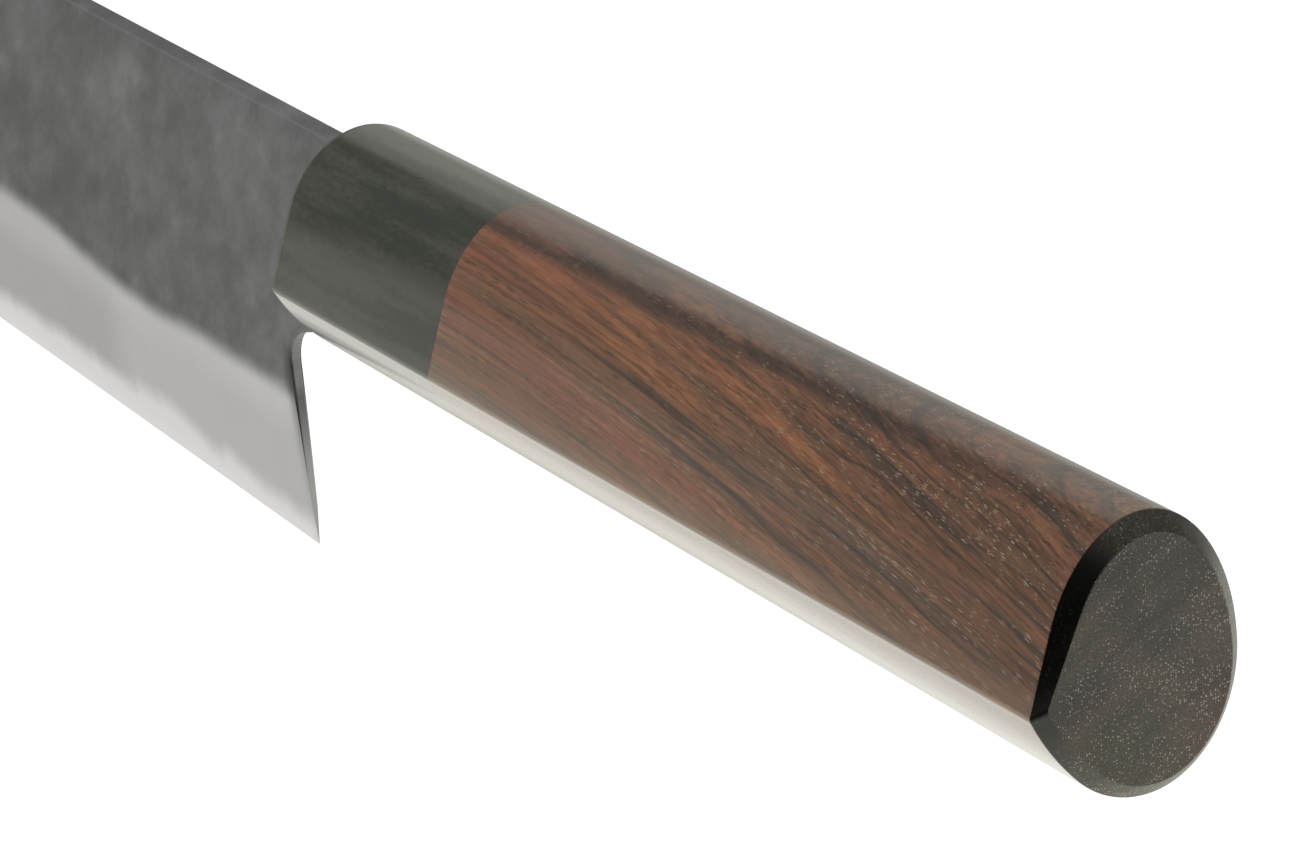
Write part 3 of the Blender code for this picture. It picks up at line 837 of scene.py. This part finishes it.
def handle_section(x, inset=0.0, ridge_inset=0.0, ridge_lift=0.0):
    """The chestnut outline at x, as y and z: an oval, drawn out on the left into one rounded ridge."""
    share = x / FERRULE_FRONT
    height = BUTT_HEIGHT + (FRONT_HEIGHT - BUTT_HEIGHT) * share
    ridge_below = RIDGE_BELOW_WIDEST + (FRONT_RIDGE_BELOW_WIDEST - RIDGE_BELOW_WIDEST) * share
    middle = -WIDEST_BELOW_MIDDLE * height / BUTT_HEIGHT
    top = height / 2 - middle - inset
    bottom = height / 2 + middle - inset
    left = LEFT_HALF_WIDTH - inset
    right = RIGHT_HALF_WIDTH - inset
    apex = Vector((-(RIDGE_REACH - ridge_inset), ridge_lift - ridge_below))

    def oval(angle):
        across = right if math.cos(angle) > 0 else left
        up = top if math.sin(angle) > 0 else bottom
        return Vector((across * math.cos(angle), up * math.sin(angle)))

    def tangent_angle(target, up, side):
        """Where a line from the target touches the oval."""
        out = Vector((target.x / left, target.y / up))
        return math.atan2(out.y, out.x) + side * math.acos(1.0 / out.length)

    def outward(along):
        """The unit vector across the flank, away from the middle of the handle."""
        return (apex - along * apex.dot(along)).normalized()

    to_upper = (oval(tangent_angle(apex, top, -1)) - apex).normalized()
    to_lower = (oval(tangent_angle(apex, bottom, 1)) - apex).normalized()
    half_angle = to_upper.angle(to_lower) / 2
    centre = apex + (to_upper + to_lower).normalized() * RIDGE_RADIUS / math.sin(half_angle)
    first = apex + to_upper * RIDGE_RADIUS / math.tan(half_angle) - centre
    turn = math.pi - 2 * half_angle
    ridge = [
        centre + Matrix.Rotation(turn * i / (RIDGE_POINTS - 1), 2) @ first for i in range(RIDGE_POINTS)]

    upper_aim = ridge[0] + outward(to_upper) * UPPER_FLANK_BULGE * AIM_PER_BULGE
    lower_aim = ridge[-1] + outward(to_lower) * LOWER_FLANK_BULGE * AIM_PER_BULGE
    upper = tangent_angle(upper_aim, top, -1)
    lower = tangent_angle(lower_aim, bottom, 1)
    sweep = (upper - lower) % math.tau
    points = [oval(lower + sweep * i / OVAL_POINTS) for i in range(OVAL_POINTS + 1)]
    points += flank(points[-1], upper_aim, ridge[0]) + ridge
    points += reversed(flank(points[0], lower_aim, ridge[-1]))
    return [p + Vector((0.0, middle)) for p in points]


def rounded(corners):
    """A closed outline from (x, z, radius) corners, each with a radius turned into an arc."""
    points = []
    count = len(corners)
    for i, (x, z, radius) in enumerate(corners):
        here = Vector((x, z))
        if radius == 0:
            points.append(here)
            continue
        before = (Vector(corners[i - 1][:2]) - here).normalized()
        after = (Vector(corners[(i + 1) % count][:2]) - here).normalized()
        half_angle = before.angle(after) / 2
        centre = here + (before + after).normalized() * radius / math.sin(half_angle)
        start = here + before * radius / math.tan(half_angle) - centre
        end = here + after * radius / math.tan(half_angle) - centre
        turn = start.angle_signed(end)
        for k in range(ARC_STEPS + 1):
            points.append(centre + Matrix.Rotation(-turn * k / ARC_STEPS, 2) @ start)
    return points


def tang_half_height(x):
    share = (x - NECK_END) / TANG_LENGTH
    return (TANG_HEIGHT + (TANG_END_HEIGHT - TANG_HEIGHT) * share) / 2


def round_the_tang(side, outside):
    """Corners of a cutter along the tang, above it for side 1 and below it for -1, and out to a height."""
    shoulder = side * tang_half_height(NECK_END)
    end = side * tang_half_height(TANG_END)
    past = TANG_END + CUTTER_MARGIN
    return [(NECK_END, shoulder, SHOULDER_RADIUS), (TANG_END, end, 0), (past, end, 0), (past, outside, 0)]


# Mesh tools

def at(x, outline):
    """An outline of y and z points, set at x."""
    return [Vector((x, p.x, p.y)) for p in outline]


def round_outline(section, radius):
    """A circle with one point in the direction of each point of a section."""
    return [p.normalized() * radius for p in section]


def mouth_outline(section):
    """The ferrule's mouth, a box with rounded corners, with one point in each direction of a section."""
    half_width = SPINE_THICKNESS / 2 + MOUTH_MARGIN_WIDTH
    half_height = TANG_HEIGHT / 2 + MOUTH_MARGIN_HEIGHT
    corner = Vector((half_width - MOUTH_CORNER_RADIUS, half_height - MOUTH_CORNER_RADIUS))
    points = []
    for p in section:
        out = Vector((abs(p.x), abs(p.y))).normalized()
        reach = min(half_width / max(out.x, TINY), half_height / max(out.y, TINY))
        if out.x * reach > corner.x and out.y * reach > corner.y:
            along = out.dot(corner)
            aside = corner.length_squared - along ** 2
            reach = along + math.sqrt(max(0.0, MOUTH_CORNER_RADIUS ** 2 - aside))
        points.append(p.normalized() * reach)
    return points


def loft(rings, closed=False):
    """A solid through rings with the same number of points: capped, or closed into a tube with walls."""
    bm = bmesh.new()
    loops = [[bm.verts.new(point) for point in ring] for ring in rings]
    count = len(rings[0])
    for first, second in zip(loops, loops[1:] + loops[:1] if closed else loops[1:]):
        for i in range(count):
            j = (i + 1) % count
            bm.faces.new((first[i], first[j], second[j], second[i]))
    if not closed:
        bm.faces.new(loops[0])
        bm.faces.new(loops[-1])
    return bm


def slab(outline, half_width):
    """An outline of x and z points, extruded to both sides of the blade's plane."""
    return loft([[Vector((p.x, y, p.y)) for p in outline] for y in (-half_width, half_width)])


def add_object(name, data):
    made = bpy.data.objects.new(name, data)
    bpy.context.scene.collection.objects.link(made)
    return made


def new_object(name, bm):
    bmesh.ops.remove_doubles(bm, verts=bm.verts, dist=MERGE_DISTANCE)
    bmesh.ops.dissolve_degenerate(bm, edges=bm.edges, dist=MERGE_DISTANCE)
    bmesh.ops.recalc_face_normals(bm, faces=bm.faces)
    mesh = bpy.data.meshes.new(name)
    bm.to_mesh(mesh)
    bm.free()
    return add_object(name, mesh)


def carve(target, cutters):
    for cutter in cutters:
        modifier = target.modifiers.new(cutter.name, "BOOLEAN")
        modifier.operation = "DIFFERENCE"
        modifier.solver = "EXACT"
        modifier.object = cutter
    carved = bpy.data.meshes.new_from_object(target.evaluated_get(bpy.context.evaluated_depsgraph_get()))
    target.modifiers.clear()
    target.data = carved


def complete(obj, node, slot, looks, choose=None):
    """Gives a piece its finishes and smooth shading, and puts it in its CAD node's place."""
    obj.data.materials.clear()
    for look in looks:
        obj.data.materials.append(look)
    for face in obj.data.polygons:
        face.material_index = choose(face) if choose else 0
    obj.data.shade_smooth()
    obj.data.set_sharp_from_angle(angle=SHARP_ANGLE)
    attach(obj, "root")
    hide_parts(node)


# Handle

def soft_corner(before, corner, after, size):
    """Points that round the corner of a profile, from size before it to size after it."""
    corner = Vector(corner)
    start = corner + (Vector(before) - corner).normalized() * size
    end = corner + (Vector(after) - corner).normalized() * size
    shares = [i / ROUNDING_STEPS for i in range(ROUNDING_STEPS + 1)]
    return [start * (1 - t) ** 2 + corner * 2 * t * (1 - t) + end * t ** 2 for t in shares]


def make_wood():
    """The body: outside with its softened chamfer, then the front face and the two bores."""
    chamfer = [
        (WOOD_FRONT / 2, 0.0), (-BUTT_CHAMFER, 0.0), (0.0, BUTT_CHAMFER_WIDTH), (0.0, BUTT_HEIGHT / 2)]
    profile = soft_corner(*chamfer[2::-1], CHAMFER_ROUNDING)[::-1]
    profile += soft_corner(*chamfer[1:], CHAMFER_ROUNDING)
    ridge_in = BUTT_RIDGE_INSET / BUTT_CHAMFER_WIDTH
    ridge_up = BUTT_RIDGE_LIFT / BUTT_CHAMFER_WIDTH
    front = handle_section(WOOD_FRONT, JOINT_ROUNDING, JOINT_ROUNDING)
    dowel_bore = round_outline(front, DOWEL_DIAMETER / 2 + FIT)
    tang_bore = round_outline(front, TANG_HOLE_DIAMETER / 2)
    bore_end = WOOD_FRONT + DOWEL_IN_WOOD + FIT
    rings = [
        at(TANG_END + RESIN_PAST_TANG, tang_bore),
        at(bore_end, tang_bore),
        at(bore_end, dowel_bore),
        at(WOOD_FRONT, dowel_bore),
        at(WOOD_FRONT, front),
    ]
    straight = [WOOD_FRONT + JOINT_ROUNDING, WOOD_FRONT + JOINT_SUPPORT, WOOD_FRONT / 2]
    for x in straight + [-BUTT_CHAMFER - CHAMFER_SUPPORT]:
        rings.append(at(x, handle_section(x)))
    for x, inset in profile:
        outline = handle_section(min(x, -BUTT_CHAMFER), inset, inset * ridge_in, inset * ridge_up)
        rings.append(at(x, outline))
    obj = new_object("wood_body", loft(rings))

    def is_end_grain(face):
        return int(abs(face.normal.x) > END_FACING or face.center.x > -BUTT_CHAMFER)

    complete(obj, "handle_body", "rosewood", [rosewood(), end_grain()], is_end_grain)


def make_ferrule():
    """The collar: outside with its rounded front edge, the front face, the mouth and the bore."""
    rings = [at(WOOD_FRONT, handle_section(WOOD_FRONT, JOINT_ROUNDING, JOINT_ROUNDING))]
    straight_end = FERRULE_FRONT + FERRULE_EDGE_RADIUS
    for x in (WOOD_FRONT - JOINT_ROUNDING, WOOD_FRONT - JOINT_SUPPORT, straight_end + JOINT_SUPPORT):
        rings.append(at(x, handle_section(x)))
    steps = ROUNDING_STEPS * 2
    for i in range(steps + 1):
        angle = math.pi / 2 * (1 - i / steps)
        inset = FERRULE_EDGE_RADIUS * (1 - math.sin(angle))
        x = FERRULE_FRONT + FERRULE_EDGE_RADIUS * (1 - math.cos(angle))
        rings.append(at(x, handle_section(x, inset, inset)))
    front = handle_section(FERRULE_FRONT, FERRULE_EDGE_RADIUS, FERRULE_EDGE_RADIUS)
    mouth = mouth_outline(front)
    bore = round_outline(front, DOWEL_DIAMETER / 2 + FIT)
    wall_end = FERRULE_FRONT + FERRULE_FRONT_WALL - FIT
    rings += [at(FERRULE_FRONT, mouth), at(wall_end, mouth), at(wall_end, bore), at(WOOD_FRONT, bore)]
    obj = new_object("horn_collar", loft(rings, closed=True))
    complete(obj, "ferrule", "horn", [horn()])


# Blade

def core_ring(x):
    """Hard steel: flat sides, and a wedge below the lamination line that ends in the edge."""
    top = spine_height(x)
    edge = edge_height(x)
    line = min(edge + CORE_REVEAL, top)
    low = min(CORE_THICKNESS / 2, half_thickness(x, line))
    high = min(CORE_THICKNESS / 2, half_thickness(x, top))
    section = [(0.0, edge), (low, line), (high, top), (-high, top), (-low, line)]
    return [Vector((x, y, z)) for y, z in section]


def jacket_ring(x, side):
    """Soft steel, flat against the core, with bevel, flat and rounded spine outside."""
    core = CORE_THICKNESS / 2
    top = spine_height(x)
    edge = edge_height(x)
    outer = half_thickness(x, top)
    ease = min(SPINE_EASE, (outer - core) / 2)
    below = top - ease
    line = min(edge + CORE_REVEAL, below)
    bevel = min(edge + BEVEL_HEIGHT, below)
    heights = spaced(line, bevel, BEVEL_ROWS) + spaced(bevel, below, FLAT_ROWS) + [below]
    section = [(max(core, half_thickness(x, z)), z) for z in heights]
    section[0] = (core, line)
    shoulder = section[-1][0]
    for i in range(1, ROUNDING_STEPS + 1):
        angle = math.pi / 2 * i / ROUNDING_STEPS
        section.append((max(core, shoulder - ease * (1 - math.cos(angle))), below + ease * math.sin(angle)))
    section.append((core, top))
    return [Vector((x, side * y, z)) for y, z in section]


def choil_cutter():
    """What is cut away below the tang. It widens outwards and so rounds the choil's corners."""
    choil_slope = CHOIL_LEAN / (HEEL_DEPTH - CHOIL_TOP_DEPTH)
    under = edge_line(TANG_END) - HEEL_DEPTH
    corner = Vector((HEEL - CHOIL_LEAN, -CHOIL_TOP_DEPTH))
    foot = Vector((HEEL + choil_slope * (-HEEL_DEPTH - under), under))
    neck = Vector((NECK_END, -NECK_DEPTH))
    down = (foot - corner).normalized()
    back = (neck - corner).normalized()
    from_choil = Vector((down.y, -down.x))
    from_neck = Vector((-back.y, back.x))

    def outline(grow):
        moved = corner + (from_choil + from_neck) * grow / (1 + from_choil.dot(from_neck))
        return rounded([
            (*(foot + from_choil * grow), 0),
            (*moved, CHOIL_RADIUS + grow),
            (neck.x, neck.y + grow / from_neck.y, 0),
            *round_the_tang(-1, under),
        ])

    sharp = outline(0.0)
    wide = outline(CHOIL_EASE)
    half = [max(0.0, half_thickness(min(p.x, NECK_END), max(p.y, edge_height(HEEL)))) for p in sharp]

    def ring(side, angle, beyond):
        points = []
        for near, far, thick in zip(sharp, wide, half):
            ease = min(CHOIL_EASE, EASED_SHARE * thick * thick / (SPINE_THICKNESS / 2))
            place = near.lerp(far, ease * (1 - math.cos(angle)) / CHOIL_EASE)
            points.append(Vector((place.x, side * (thick - ease * (1 - math.sin(angle)) + beyond), place.y)))
        return points

    angles = [math.pi / 2 * i / EASE_STEPS for i in range(EASE_STEPS + 1)]
    rings = [ring(-1, math.pi / 2, CUTTER_MARGIN)]
    rings += [ring(-1, angle, CUTTER_LIFT) for angle in reversed(angles)]
    rings += [ring(1, angle, CUTTER_LIFT) for angle in angles]
    rings.append(ring(1, math.pi / 2, CUTTER_MARGIN))
    return new_object("choil_cutter", loft(rings))


def make_blade():
    """Three layers lofted along the same stations and cut to the same outline."""
    stations = blade_stations()
    jacketed = [x for x in stations if x >= where_blade_is(CORE_REVEAL)]
    over = spine_line(TIP) + CUTTER_MARGIN
    top_outline = rounded([(NECK_END, over, 0), *round_the_tang(1, over)])
    cutters = [choil_cutter(), new_object("tang_cutter", slab(top_outline, SPINE_THICKNESS))]

    def choose(face):
        """The sides are 0, the spine and the top of the tang 1, and the choil and what faces down 2."""
        if abs(face.normal.y) > SIDE_FACING:
            return 0
        return 1 if face.normal.z > SPINE_FACING else 2

    looks = [laminated_steel(), skin_steel(), choil_steel()]
    layers = (
        ("core_layer", "blade_core", "core_steel", [core_ring(x) for x in stations]),
        ("left_layer", "blade_jacket_left", "jacket_steel", [jacket_ring(x, -1) for x in jacketed]),
        ("right_layer", "blade_jacket_right", "jacket_steel", [jacket_ring(x, 1) for x in jacketed]),
    )
    for name, node, slot, rings in layers:
        obj = new_object(name, loft(rings))
        carve(obj, cutters)
        complete(obj, node, slot, looks, choose)
    for cutter in cutters:
        bpy.data.objects.remove(cutter)


make_blade()
make_ferrule()
make_wood()

resin = plain_grain("cast_resin", *RESIN)
dowel_wood = plain_grain("pale_dowel_wood", *DOWEL_WOOD)
carried_over = {"handle_dowel": dowel_wood, "tang_bedding": resin, "mouth_seal": resin}
for node, look in carried_over.items():
    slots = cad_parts[node].data.materials
    slots.clear()
    slots.append(look)


# Studio

def make_world():
    """White behind the knife, even light on it, and an uneven studio for its reflections."""
    world = bpy.data.worlds.new("studio")
    world.cycles.sampling_method = "NONE"
    bpy.context.scene.world = world
    n = Nodes(world)
    direction = n.add("TexCoord", output="Generated")
    mirrored = n.tint(OPEN_STUDIO)
    for towards, outside, inside, tone in STUDIO_PATCHES:
        facing = n.along(direction, Vector(towards).normalized())
        patch = n.share(facing, math.cos(math.radians(outside)), math.cos(math.radians(inside)))
        mirrored = n.mix(patch, mirrored, n.tint(tone))
    low = n.share(n.along(direction, UP), *PALE_LOW)
    away = n.share(n.along(direction, CAMERA_SIDE), *AWAY_FROM_CAMERA)
    far = n.share(n.along(direction, FAR_SIDE), *FAR_SIDE_REACH)
    pale = n.mix(far, n.tint(PALE_STUDIO), n.tint(FAR_SIDE_TONE))
    mirrored = n.over(mirrored, pale, low, away)
    shown = n.math("MAXIMUM", n.ray("Camera"), n.ray("Transmission"))
    colour = n.mix(shown, n.tint(WORLD_LIGHT, WHITE), WHITE)
    colour = n.mix(n.ray("Glossy"), colour, mirrored)
    n.put_out(n.add("Background", {"Color": colour, "Strength": 1.0}), "World")


def floor_paint():
    """Pale paint that keeps the shadow. Reflections see it as plain white that ends some way off."""
    n = new_material("studio_floor")
    lift = n.times(n.ray("Camera"), FLOOR_LIFT)
    paint = n.add("BsdfDiffuse", {"Color": FLOOR_COLOUR})
    glow = n.add("Emission", {"Color": WHITE, "Strength": lift})
    seen = n.add("AddShader", {0: paint, 1: glow})

    place = n.add("NewGeometry", output="Position")
    away = n.add("VectorMath", {0: place}, output="Value", operation="LENGTH")
    white = n.mix(n.share(away, *FLOOR_DIMS), n.tint(MIRRORED_FLOOR), n.tint(DIM_FLOOR))
    towards = n.add("VectorMath", {0: place}, operation="NORMALIZE")
    blade_side = n.share(n.along(towards, BLADE_SIDE), *BLADE_SIDE_REACH)
    far_side = n.share(n.along(towards, FAR_SIDE), *FAR_SIDE_REACH)
    nearer = n.share(n.along(place, CAMERA_SIDE), *CAMERA_SIDE_DARKENS)
    white = n.over(white, n.tint(BLADE_SIDE_FLOOR), blade_side)
    white = n.over(white, n.tint(FAR_SIDE_TONE), far_side)
    white = n.over(white, BLACK, nearer)
    mirrored = n.add("Emission", {"Color": white, "Strength": 1.0})
    return n.put_out(n.add("MixShader", {0: n.ray("Glossy"), 1: seen, 2: mirrored}))


def make_floor():
    mesh = bpy.data.meshes.new("floor")
    far = FLOOR_HALF_SIZE
    mesh.from_pydata([(-far, -far, 0), (far, -far, 0), (far, far, 0), (-far, far, 0)], [], [(0, 1, 2, 3)])
    mesh.materials.append(floor_paint())
    card = add_object("floor", mesh)
    card.location.z = FLOOR_HEIGHT


def softbox(name, direction, distance, size, power):
    light = bpy.data.lights.new(name, "AREA")
    light.shape = "SQUARE"
    light.size = size
    light.energy = power
    out = Vector(direction).normalized()
    lamp = add_object(name, light)
    lamp.visible_glossy = False
    lamp.matrix_world = Matrix.Translation(out * distance) @ out.to_track_quat("Z", "Y").to_matrix().to_4x4()


def make_camera():
    ahead = Vector((
        -math.cos(CAMERA_PITCH) * math.cos(CAMERA_YAW),
        math.cos(CAMERA_PITCH) * math.sin(CAMERA_YAW),
        -math.sin(CAMERA_PITCH)))
    level = ahead.cross(Vector(UP)).normalized()
    down = ahead.cross(level)
    right = math.cos(CAMERA_ROLL) * level + math.sin(CAMERA_ROLL) * down
    up = math.sin(CAMERA_ROLL) * level - math.cos(CAMERA_ROLL) * down
    data = bpy.data.cameras.new("camera")
    data.sensor_fit = "HORIZONTAL"
    data.sensor_width = SENSOR_WIDTH
    data.lens = SENSOR_WIDTH * FOCAL_PIXELS / PHOTO_WIDTH
    data.clip_start = CLIP_START
    data.clip_end = CLIP_END
    camera = add_object("camera", data)
    axes = Matrix((right, up, -ahead)).transposed()
    camera.matrix_world = Matrix.Translation(CAMERA_PLACE) @ axes.to_4x4()
    bpy.context.scene.camera = camera


make_world()
make_floor()
for lamp in LAMPS:
    softbox(*lamp)
make_camera()
bpy.context.scene.view_settings.view_transform = "Standard"
